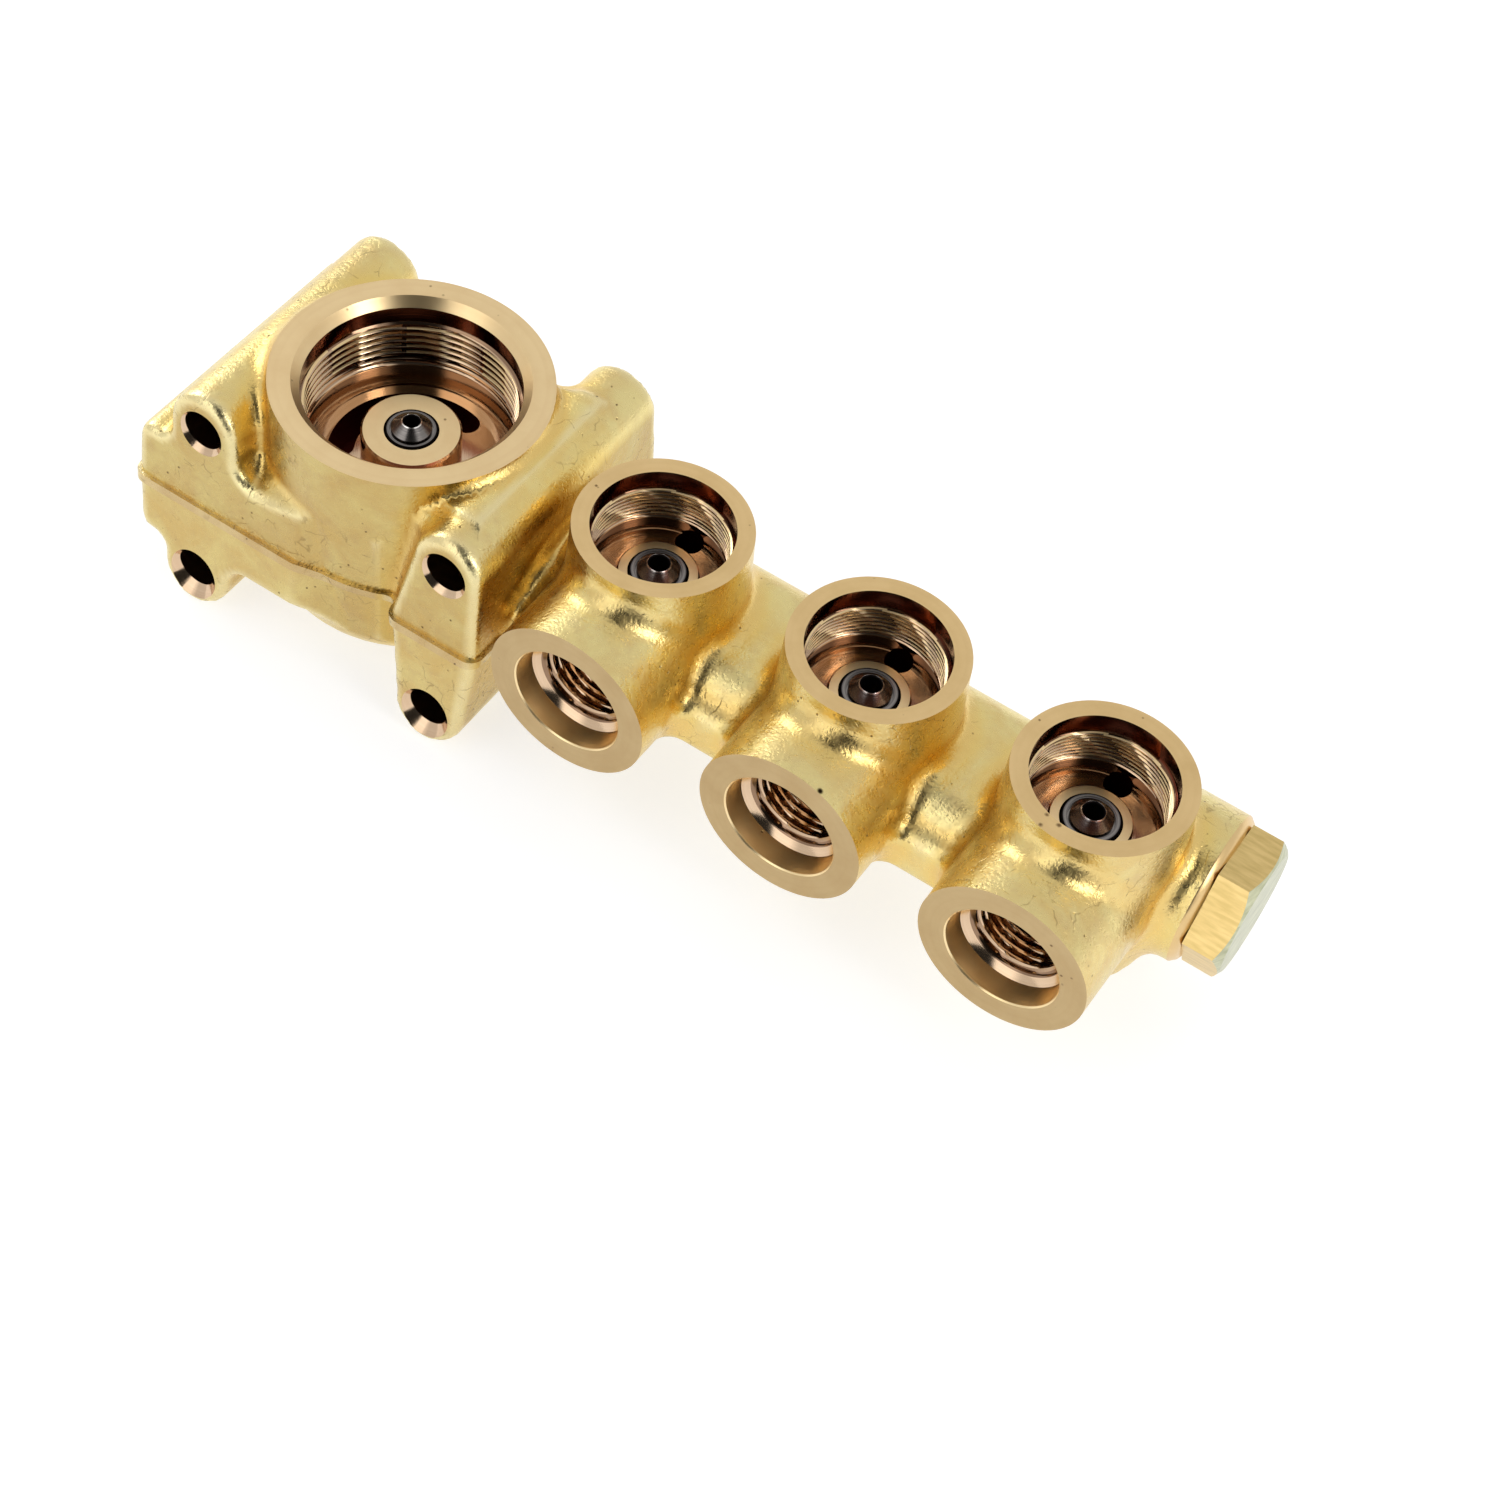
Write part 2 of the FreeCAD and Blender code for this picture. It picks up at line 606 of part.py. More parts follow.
# ---- seats and plug -----------------------------------------------------------
def make_seat(name, x, prefix, orifice):
    p = prefix
    return turned(name, [
        (orifice, "-seat_foot_depth"),
        (p + "_r", "-seat_foot_depth"),
        (p + "_r", "-%s_ring_depth" % p),
        (p + "_ring_r", "-%s_ring_depth" % p),
        (p + "_ring_r", "-%s_groove_depth" % p),
        (p + "_cone_r", "-%s_groove_depth" % p),
        (p + "_cone_r", "-%s_cone_depth" % p),
        (p + "_lip_r", "-%s_lip_depth" % p),
        (orifice, "-%s_lip_depth - %s_lip_r + %s" % (p, p, orifice)),
    ], x=x)


def make_plug():
    hexagon = new_body("plug_hexagon")
    corner = "plug_af / 2 / cos( 30 deg )"
    corners = [("gallery_y + %s * cos( plug_turn * 1 deg + %d deg )" % (corner, 60 * k),
                "parting_z + %s * sin( plug_turn * 1 deg + %d deg )" % (corner, 60 * k))
               for k in range(6)]
    pad(hexagon, "plug_hexagon", "YZ_Plane", corners, "plug_head", z=BOSS_END)
    turned_head = turned("plug_turning", [
        (BOSS_END, "0"),
        (BOSS_END, "plug_face_r + plug_head / tan( 30 deg )"),
        (BOSS_END + " + plug_head", "plug_face_r"),
        (BOSS_END + " + plug_head", "0"),
    ], axis="H_Axis", role="XZ_Plane", y="parting_z", z="-gallery_y")
    head = common("plug_head", [hexagon, turned_head])
    shank = drill("plug_shank", ALONG, "plug_shank_r", "plug_shank + overshoot / 2",
                  BOSS_END + " - plug_shank", "gallery_y", "parting_z")
    return fuse("end_plug", [head, shank])


blanks = make_bar() + [make_station(i) for i in range(int(sheet.port_count))] + make_head()
forging = fuse("forging", blanks)
machining = fuse("machining", make_tools())
nodes = [cut("manifold_body", forging, machining)]
nodes += [make_seat("valve_seat_%d" % (i + 1), port_x(i), "seat", "orifice_r")
          for i in range(int(sheet.port_count))]
nodes.append(make_seat("main_seat", "main_x", "main_seat", "main_orifice_r"))
nodes.append(make_plug())
doc.recompute()

for obj in doc.Objects:
    if "Invalid" in obj.State or "Error" in obj.State:
        raise RuntimeError("%s: %s" % (obj.Name, obj.State))
for node in nodes:
    if node.Shape.isNull() or not node.Shape.isValid():
        raise RuntimeError("bad shape: " + node.Name)

os.makedirs("parts", exist_ok=True)
for node in nodes:
    node.Shape.exportStep("parts/%s.step" % node.Label)
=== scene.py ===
import math

import bmesh
import bpy
import numpy as np
import openvdb
from mathutils import Matrix, Vector


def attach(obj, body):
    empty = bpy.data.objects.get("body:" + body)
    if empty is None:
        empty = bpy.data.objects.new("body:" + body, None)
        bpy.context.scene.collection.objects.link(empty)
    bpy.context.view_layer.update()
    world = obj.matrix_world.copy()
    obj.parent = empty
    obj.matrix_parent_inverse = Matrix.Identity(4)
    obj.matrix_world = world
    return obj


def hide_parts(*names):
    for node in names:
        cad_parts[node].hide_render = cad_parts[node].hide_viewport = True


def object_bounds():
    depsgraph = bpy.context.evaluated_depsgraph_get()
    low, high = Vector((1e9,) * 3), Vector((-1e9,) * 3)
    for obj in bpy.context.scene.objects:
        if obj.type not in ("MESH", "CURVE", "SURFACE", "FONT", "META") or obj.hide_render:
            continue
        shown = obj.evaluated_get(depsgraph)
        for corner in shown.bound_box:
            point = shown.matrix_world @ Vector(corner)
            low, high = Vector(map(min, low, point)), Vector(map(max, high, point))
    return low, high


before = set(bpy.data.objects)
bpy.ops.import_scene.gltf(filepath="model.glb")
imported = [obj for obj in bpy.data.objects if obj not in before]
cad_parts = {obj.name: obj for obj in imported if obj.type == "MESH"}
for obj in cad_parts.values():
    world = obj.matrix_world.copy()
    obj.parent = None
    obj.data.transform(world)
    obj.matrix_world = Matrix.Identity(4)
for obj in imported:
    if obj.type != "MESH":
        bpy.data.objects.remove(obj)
cad_low, cad_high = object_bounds()
MM = 0.001

# ---- layout of the manifold, in millimetres -----------------------------------
PORTS = (0, 35, 70)
MAIN_X = -43
PARTING = -20
GALLERY_Y = 7.8
OUTLET_Z = -17.1
OUTLET_FACE = -21.6
MAIN_RIM = 0.96
BOSS_END = 88
BOLT_X = 21.25
BOLT_Z = 13.25
LUG_R = 5.8
FEED_R = 2.05
BOLT_R = 3.2
FLASH_OUT = 0.58
FLASH_THICK = 1.3
SKIN_CELL = 0.78
FLASH_CELL = 0.8


# ---- distances to simple forms, negative inside -------------------------------
def round_union(a, b, r):
    """Union with a concave blend of radius r."""
    reach = np.hypot(np.maximum(r - a, 0), np.maximum(r - b, 0))
    return np.maximum(r, np.minimum(a, b)) - reach


def round_meet(a, b, r):
    """Intersection with an edge rounded to radius r."""
    reach = np.hypot(np.maximum(r + a, 0), np.maximum(r + b, 0))
    return np.minimum(-r, np.maximum(a, b)) + reach


def crossing(parallel, r):
    """Blend radius that fades where two surfaces run side by side."""
    return 0.2 + r * np.clip(1 - parallel, 0, 1) ** 0.8


def barrel(across, up, along, stations, radii):
    """Round bar whose radius follows its stations."""
    return np.hypot(across, up) - np.interp(along, stations, radii)


# ---- forged blank -------------------------------------------------------------
def station(x, y, z, port):
    tower = barrel(x - port, y, z, (-31, PARTING, 0), (12.9, 13.5, 12.75))
    tower = round_meet(tower, -31 - z, 2)
    tower = np.maximum(tower, z - 1.5)
    outlet = barrel(x - port, z - OUTLET_Z, y, (OUTLET_FACE, 0), (12.7, 13))
    outlet = np.maximum(outlet, np.maximum(OUTLET_FACE - 1.5 - y, y))
    around = np.hypot(x - port, y) * np.hypot(x - port, z - OUTLET_Z) + 1
    return round_union(tower, outlet, crossing((x - port) ** 2 / around, 3.2))


def bar(x, y, z):
    half = np.abs(z - PARTING)
    shoulder = (y + 8) * -0.809 + (half - 8) * 0.588
    slab = round_meet(half - 8, shoulder, 3)
    slab = np.maximum(slab, np.maximum(-12.4 - y, y - GALLERY_Y))
    lip = half - np.interp(y, (-12.6, -10.4), (4.1, 4.7))
    lip = round_meet(lip, -13.4 - y, 1.7)
    lip = np.maximum(lip, y)
    back = np.hypot(y - GALLERY_Y, half) - 8
    section = np.minimum(round_union(slab, lip, 0.8), back)
    return np.maximum(section, np.maximum(MAIN_X - x, x - 77))


def plug_boss(x, y, z):
    boss = barrel(y - GALLERY_Y, z - PARTING, x, (76, 79), (8, 11.4))
    return np.maximum(boss, np.maximum(74 - x, x - BOSS_END - 1.5))


def head_front(z):
    """Front of the head, leaning out towards its foot."""
    return np.interp(z, (PARTING - 21, PARTING, PARTING + 21), (-25.9, -22, -20.05))


def head_back(z):
    return 23.55 - np.abs(z - PARTING) / 21


def lug(x, z, middle, left, right):
    """Pair of bolt lugs, wider by left and right at the parting plane."""
    half = np.abs(z - PARTING)
    width = 1 - np.clip(half / BOLT_Z, 0, 1)
    extra = np.where(x < middle, left, right)
    return np.hypot(x - middle, np.maximum(half - BOLT_Z, 0)) - LUG_R - extra * width


def left_lugs(x, z):
    drop = PARTING - z
    wall = -75.9 + np.where(drop > 0, drop / 9.3, -drop / 60) - x
    shelf = np.maximum(z - PARTING - 8.3, PARTING - 10.6 - z)
    shoulder = np.maximum(round_meet(wall, shelf, 2.2), x + 62)
    web = np.maximum(z - PARTING - 7.4, PARTING - 9.7 - z)
    web = np.maximum(web, np.maximum(x + 36, -64 - x))
    shape = round_union(lug(x, z, MAIN_X - BOLT_X, 1, 1.05), shoulder, 2)
    return round_union(shape, web, 3)


def web_front(x, z):
    """Front of the head, running out into the main tower."""
    front = head_front(z)
    return front + np.clip((x + 47) / 11, 0, 1) * (-19.3 - front)


def main_tower(x, y, z):
    wall = barrel(x - MAIN_X, y, z, (-36.3, PARTING, MAIN_RIM), (20.8, 21, 20.3))
    wall = round_meet(wall, -36.3 - z, 5)
    return np.maximum(wall, z - 2.5)


def head(x, y, z):
    front, back = web_front(x, z) - y, y - head_back(z)
    left = round_meet(round_meet(left_lugs(x, z), front, 1.4), back, 1)
    right = lug(x, z, MAIN_X + BOLT_X, 2.85, 0.55)
    right = round_meet(round_meet(right, head_front(z) - y, 1.6), back, 1)
    step = np.interp(z, (-23, -16, -5.5, -3.2, -2), (18.0, 17.5, 16.3, 15.5, 13.5))
    inner = np.maximum(np.maximum(-29.7 - z, z + 1.8), np.abs(y) - step)
    inner = np.maximum(inner, np.maximum(x + 21.75, MAIN_X - x))
    tower = main_tower(x, y, z)
    block = round_union(left, tower, 3)
    block = np.maximum(block, np.minimum(np.maximum(front, back), tower))
    return round_union(np.minimum(block, inner), right, 3)


def forging(x, y, z):
    shape = bar(x, y, z)
    shape = round_union(shape, plug_boss(x, y, z), 3)
    for port in PORTS:
        shape = round_union(shape, station(x, y, z, port), 2.5)
    return round_union(shape, head(x, y, z), 3)


def skin(shape, voxel, high):
    """Quads on the zero surface of a distance function."""
    lines = [np.arange(a, b, voxel) for a, b in ((-79, 91.5), (-29, 27), (-42, high))]
    x, y, z = np.meshgrid(*(a.astype(np.float32) for a in lines), indexing="ij", sparse=True)
    grid = openvdb.FloatGrid(3.0)
    grid.copyFromArray(np.clip(shape(x, y, z), -3, 3).astype(np.float32))
    points, quads = grid.convertToQuads()
    return points * voxel + [a[0] for a in lines], quads


def mesh_object(name, points, faces, feature=None):
    """Closed mesh whose faces look outward."""
    points = np.asarray(points) * MM
    corners = points[[f[k] for f in faces for k in (0, 1, 2)]].reshape(-1, 3, 3)
    volume = np.einsum("ij,ij", corners[:, 0], np.cross(corners[:, 1], corners[:, 2]))
    order = 1 if volume > 0 else -1
    mesh = bpy.data.meshes.new(name)
    mesh.from_pydata(points.tolist(), [], [list(f)[::order] for f in faces])
    if feature is not None:
        mesh.polygons.foreach_set("material_index", feature)
    mesh.update()
    thing = bpy.data.objects.new(name, mesh)
    bpy.context.scene.collection.objects.link(thing)
    return thing


def slice_between(thing, low, high):
    """Keeps the slab of a closed mesh between two heights, with flat caps."""
    form = bmesh.new()
    form.from_mesh(thing.data)
    for height, normal in ((high, (0, 0, 1)), (low, (0, 0, -1))):
        cut = bmesh.ops.bisect_plane(form, geom=form.verts[:] + form.edges[:] + form.faces[:],
                                     plane_co=(0, 0, height * MM), plane_no=normal,
                                     clear_outer=True)
        rim = [e for e in cut["geom_cut"] if isinstance(e, bmesh.types.BMEdge)]
        bmesh.ops.holes_fill(form, edges=rim)
    form.to_mesh(thing.data)
    form.free()


body = mesh_object("manifold", *skin(forging, SKIN_CELL, 4))


# ---- cutters ------------------------------------------------------------------
FORGED, MAIN_FACE, PORT_FACE, SHADED_OUTLET_FACING, LIT_MOUTH, BORE, DEEP_SHADE, SEAM = range(8)
features = [("skin", (0, 0, 0), "z")]
cutters = []
AXES = {"z": ((1, 0, 0), (0, 1, 0), (0, 0, 1)),
        "y": ((1, 0, 0), (0, 0, 1), (0, -1, 0)),
        "x": ((0, 1, 0), (0, 0, 1), (1, 0, 0))}


def ridge(t):
    """Thread section over one pitch, 0 at the crest and 1 at the root."""
    tri = 1 - np.abs(2 * (t - np.floor(t)) - 1)
    return np.clip((tri - 0.4) / 0.4, 0, 1)


def rows(profile, thread=None):
    """Profile rows (radius, height, thread depth), with the thread filled in."""
    out = []
    for (r0, h0), (r1, h1) in zip(profile, profile[1:]):
        if thread and r0 == r1 and h0 == thread["top"]:
            count = int((h0 - h1) / thread["pitch"] * 8)
            for k in range(count):
                down = (h0 - h1) * k / count
                land = max(r0, r0 + thread["flare"] - down)
                run_out = min(1, 4 * (1 - k / count) + 0.3)
                depth = max(0, r0 + thread["depth"] - land) * run_out
                out.append((land, h0 - down, depth))
        else:
            out.append((r0, h0, 0))
    out.append((profile[-1][0], profile[-1][1], 0))
    return out


def revolve(name, profile, centre, axis="z", turns=96, thread=None):
    """Closed solid of revolution from (radius, height) corners, both ends on the axis."""
    u, v, w = (np.array(a, float) for a in AXES[axis])
    angle = np.arange(turns) * 2 * math.pi / turns
    ring = np.cos(angle)[:, None] * u + np.sin(angle)[:, None] * v
    verts, starts = [], []
    for r, h, depth in rows(profile, thread):
        if r < 1e-6:
            starts.append((len(verts), 1))
            verts.append(np.array(centre) + w * h)
            continue
        radius = np.full(turns, float(r))
        if depth:
            radius += depth * ridge(h / thread["pitch"] - angle / (2 * math.pi))
        starts.append((len(verts), turns))
        verts.extend(np.array(centre) + ring * radius[:, None] + w * h)
    faces = []
    for (a, na), (b, nb) in zip(starts, starts[1:]):
        for k in range(turns):
            n = (k + 1) % turns
            if na == 1:
                faces.append((a, b + n, b + k))
            elif nb == 1:
                faces.append((a + k, a + n, b))
            else:
                faces.append((a + k, a + n, b + n, b + k))
    slot = len(features)
    features.append((name, tuple(centre), axis))
    cutters.append(mesh_object(name, verts, faces, np.full(len(faces), slot)))


SEAM_X = -30.9
flash_slot = len(features)
features.append(("flash", (0, 0, 0), "z"))
for side, drop in ((1, 0.8), (-1, 0.2)):
    flash = mesh_object("flash", *skin(lambda x, y, z: np.maximum(
        np.maximum(head(x, y, z) - FLASH_OUT, x + 14.6), side * (x - SEAM_X)), FLASH_CELL, 4))
    slice_between(flash, PARTING - drop - FLASH_THICK, PARTING - drop)
    flash.data.polygons.foreach_set("material_index", [flash_slot] * len(flash.data.polygons))
    cutters.append(flash)

SMALL_THREAD = {"top": -3.1, "pitch": 0.75, "depth": 0.42, "flare": 0.2}
MAIN_THREAD = {"top": -3.4, "pitch": 1.2, "depth": 0.6, "flare": 0.2}
PIPE_THREAD = {"top": -4.4, "pitch": 1.337, "depth": 0.8, "flare": 0.85}

for n, port in enumerate(PORTS):
    revolve("rim_%d" % n, [(0, 3), (16, 3), (16, 0), (0, 0)], (port, 0, 0))
    revolve("chamber_%d" % n, [
        (0, 2), (10.2, 2), (10.2, -2.7), (9.6, -3.1), (9.6, -8.8), (10, -9.1),
        (10, -10.1), (9.3, -10.1), (9.15, -10.5), (5.9, -10.5), (5.9, -9.8), (5.6, -9.5),
        (4.35, -9.5), (4.08, -9.8), (4.08, -13.2), (0, -13.2)], (port, 0, 0), turns=96,
        thread=SMALL_THREAD)
    revolve("outlet_face_%d" % n, [(0, 3.5), (13.5, 3.5), (13.5, 0), (0, 0)],
            (port, OUTLET_FACE, OUTLET_Z), "y")
    revolve("outlet_%d" % n, [
        (0, 2), (8.75, 2), (8.75, 0), (8.55, -0.2), (8.2, -3.5), (7.25, -4.35), (6.3, -4.4),
        (6.3, -14), (4, -15.7), (4, -23), (0, -23)],
        (port, OUTLET_FACE, OUTLET_Z), "y", turns=80, thread=PIPE_THREAD)
    revolve("feed_%d" % n, [(0, -9.4), (FEED_R, -9.4), (FEED_R, PARTING), (0, PARTING)],
            (port, GALLERY_Y + 0.2, 0), turns=48)

revolve("main_rim", [(0, 3), (24, 3), (24, 0), (0, 0)], (MAIN_X, 0, MAIN_RIM), turns=128)
revolve("main_chamber", [
    (0, 2), (17, 2), (17, 0.96), (15.75, -0.4), (15.75, -3.1), (15.2, -3.4),
    (15.2, -11.5), (15.9, -12), (15.9, -13), (13, -13), (13, -14.3), (7.3, -14.3),
    (7.3, -9.5), (7.0, -9.2), (4.0, -9.2), (3.73, -9.5), (3.73, -13.2), (0, -13.2)],
    (MAIN_X, 0, 0), turns=144, thread=MAIN_THREAD)


def sector(name, inner, outer, start, sweep, low, high, centre, steps=28):
    """Closed ring sector, round ended."""
    mid, half = (inner + outer) / 2, (outer - inner) / 2
    path = []
    for k in range(steps + 1):
        a = math.radians(start + sweep * k / steps)
        path.append((outer * math.cos(a), outer * math.sin(a)))
    for end, sign in ((start + sweep, 1), (start, -1)):
        a = math.radians(end)
        for k in range(1, 8):
            b = a + (k / 8 * math.pi if sign > 0 else math.pi + k / 8 * math.pi)
            path.append((mid * math.cos(a) + half * math.cos(b),
                         mid * math.sin(a) + half * math.sin(b)))
        if sign > 0:
            for k in range(steps, -1, -1):
                c = math.radians(start + sweep * k / steps)
                path.append((inner * math.cos(c), inner * math.sin(c)))
    count = len(path)
    verts = [(centre[0] + u, centre[1] + v, h) for h in (high, low) for u, v in path]
    faces = [tuple(range(count)), tuple(range(2 * count - 1, count - 1, -1))]
    faces += [(k, count + k, count + (k + 1) % count, (k + 1) % count) for k in range(count)]
    slot = len(features)
    features.append((name, (*centre, 0), "z"))
    cutters.append(mesh_object(name, verts, faces, np.full(len(faces), slot)))


sector("kidney", 8.3, 12.2, 75, 135, -21, -13.5, (MAIN_X, 0))
revolve("plug_face", [(0, 3), (16, 3), (16, -2), (11.6, -2), (11.35, -1.1), (10.7, -0.35),
                      (9.9, 0), (0, 0)], (BOSS_END, GALLERY_Y, PARTING), "x")
revolve("plug_bore", [(0, 1), (6.6, 1), (6.6, -10), (0, -10)], (BOSS_END, GALLERY_Y, PARTING), "x")
for side in (-1, 1):
    for level, chamfer in ((1, 0.45), (-1, 0.85)):
        z = PARTING + level * BOLT_Z
        face = float(head_front(z))
        revolve("bolt_%d_%d" % (side + 1, level + 1), [
            (0, 2), (BOLT_R + chamfer + 2, 2), (BOLT_R, -chamfer), (BOLT_R, -50), (0, -50)],
            (MAIN_X + side * BOLT_X, face, z), "y", turns=48)

for feature in features:
    body.data.materials.append(bpy.data.materials.new(feature[0]))
for thing in cutters:
    for material in body.data.materials:
        thing.data.materials.append(material)
    cut = body.modifiers.new(thing.name, "BOOLEAN")
    cut.operation = "UNION" if thing.name.startswith("flash") else "DIFFERENCE"
    cut.object = thing
    cut.solver = "MANIFOLD"
    thing.hide_render = True
depsgraph = bpy.context.evaluated_depsgraph_get()
solid = bpy.data.meshes.new_from_object(body.evaluated_get(depsgraph))
body.modifiers.clear()
body.data = solid
for thing in cutters:
    bpy.data.objects.remove(thing)


# ---- attributes of the cut body -----------------------------------------------
def read(items, name, width=1, kind=np.float32):
    out = np.empty(len(items) * width, kind)
    items.foreach_get(name, out)
    return out.reshape(-1, width) if width > 1 else out


def gradient(places, step=0.25):
    """Normal and curvature of the blank's surface at places, in mm."""
    slope = np.empty_like(places)
    here = forging(*places.T)
    spread = -6 * here
    for k in range(3):
        shift = np.zeros(3)
        shift[k] = step
        ahead, behind = forging(*(places + shift).T), forging(*(places - shift).T)
        slope[:, k] = ahead - behind
        spread += ahead + behind
    slope /= np.linalg.norm(slope, axis=1)[:, None] + 1e-9
    return slope, spread / step ** 2


feature_of = read(solid.polygons, "material_index", kind=np.int32)
corners = read(solid.loops, "vertex_index", kind=np.int32)
sizes = read(solid.polygons, "loop_total", kind=np.int32)
corner_feature = np.repeat(feature_of, sizes)
places = read(solid.vertices, "co", 3).astype(float) / MM
slope, _ = gradient(places)
_, bend = gradient(places, 1.5)
# shelter: how close other parts of the forging lie in front of each point; the forged materials use it
# for a painted reflection of nearby brass
shelter = sum(np.clip(1 - forging(*(places + slope * reach).T) / reach, 0, 1) for reach in (4, 8)) / 2
off_skin = np.abs(forging(*places.T)) > 0.25

solid.shade_smooth()
solid.set_sharp_from_angle(angle=math.radians(32))
normals = np.zeros((len(corners), 3))
on_skin = (corner_feature == 0) & ~off_skin[corners]
normals[on_skin] = slope[corners[on_skin]]
solid.normals_split_custom_set(normals.tolist())

FINISHES = (("flash", SEAM), ("kidney", DEEP_SHADE), ("feed", DEEP_SHADE), ("plug_bore", DEEP_SHADE),
            ("main_rim", MAIN_FACE), ("rim", PORT_FACE), ("outlet_face", SHADED_OUTLET_FACING),
            ("plug_face", PORT_FACE))


# bore radius, depth and strength of the painted shade in the roots of each thread
THREADED = {"chamber": (9.6, 0.42, 1), "main_chamber": (15.2, 0.6, 0.8), "outlet": (6.3, 0.8, 0.8)}


def finish_of(name):
    """Surface finish left by the tool that cut a feature; for the deep pockets and holes and for the
    outlet faces it carries painted shade.
    """
    return next((finish for start, finish in FINISHES if name.startswith(start)), BORE)


finish = np.array([FORGED] + [finish_of(f[0]) for f in features[1:]])[feature_of]
middles = read(solid.polygons, "center", 3) / MM
upward = read(solid.polygons, "normal", 3)[:, 2] > 0.9
chambers = np.array(["chamber" in f[0] for f in features])[feature_of]
finish[chambers & upward & (middles[:, 2] > -9.9)] = MAIN_FACE
finish[chambers & (middles[:, 2] > -0.41) & (finish == BORE)] = MAIN_FACE
# painted highlight: bore faces within 3.5 mm of an outlet face get the lighter mouth brass
mouths = np.array([f[0].startswith("outlet_") for f in features])[feature_of] & (finish == BORE)
finish[mouths & (middles[:, 1] < OUTLET_FACE + 3.5)] = LIT_MOUTH
centres = np.array([f[1] for f in features], float)[feature_of] * MM
spins = np.array([AXES[f[2]][2] for f in features], float)[feature_of]
for name, values in (("spin_centre", centres), ("spin_axis", spins)):
    layer = solid.attributes.new(name, "FLOAT_VECTOR", "FACE")
    layer.data.foreach_set("vector", values.astype(np.float32).ravel())
reach = np.linalg.norm(np.cross(middles - centres / MM, spins), axis=1)
threads = np.array([THREADED.get(f[0].rstrip("_012"), (0, 1, 0)) for f in features])[feature_of]
# root: painted shade in the thread roots, stronger towards the root radius
root = np.clip(1.8 * (reach - threads[:, 0]) / threads[:, 1] - 0.1, 0, 1) * threads[:, 2]
root[(np.abs(reach - threads[:, 0] - 0.5) > 0.8) | (finish != BORE)] = 0
layer = solid.attributes.new("root", "FLOAT", "FACE")
layer.data.foreach_set("value", root.astype(np.float32))
# fold and crest: concave and convex bends of the forging; the forged materials paint a reflection into
# folds and a highlight onto crests
fold = np.clip(-bend * 2.5, 0, 1)
crest = np.clip(bend * 2 - 0.25, 0, 1)
for name, values in (("fold", fold), ("shelter", shelter), ("crest", crest)):
    layer = solid.attributes.new(name, "FLOAT", "POINT")
    layer.data.foreach_set("value", values.astype(np.float32))


# ---- materials ----------------------------------------------------------------
def new_material(name):
    """Metal, and a function that adds nodes to it: inputs are numbers or outputs."""
    material = bpy.data.materials.new(name)
    material.use_nodes = True
    nodes, links = material.node_tree.nodes, material.node_tree.links

    def feed(node, inputs):
        for key, value in inputs.items():
            if isinstance(value, bpy.types.NodeSocket):
                links.new(value, node.inputs[key])
            else:
                node.inputs[key].default_value = value

    def add(kind, inputs, output=0, **fields):
        node = nodes.new("ShaderNode" + kind)
        for key, value in fields.items():
            setattr(node, key, value)
        feed(node, inputs)
        return node.outputs[output]

    shader = nodes["Principled BSDF"]
    shader.inputs["Metallic"].default_value = 1
    return material, add, lambda **inputs: feed(
        shader, {key.replace("_", " "): value for key, value in inputs.items()})


def noise(add, where, scale, detail=2, rough=0.5, twist=0):
    return add("TexNoise", {"Vector": where, "Scale": scale, "Detail": detail,
                            "Roughness": rough, "Distortion": twist})


def span(add, value, low, high, out_low=0, out_high=1):
    """Value mapped from one range to another and held inside it."""
    return add("MapRange", {0: value, 1: low, 2: high, 3: out_low, 4: out_high})


def blend(add, factor, first, second, kind="MIX"):
    return add("Mix", {0: factor, 6: first, 7: second}, 2, data_type="RGBA", blend_type=kind)


def calc(add, kind, first, second=0.0):
    return add("Math", {0: first, 1: second}, operation=kind)


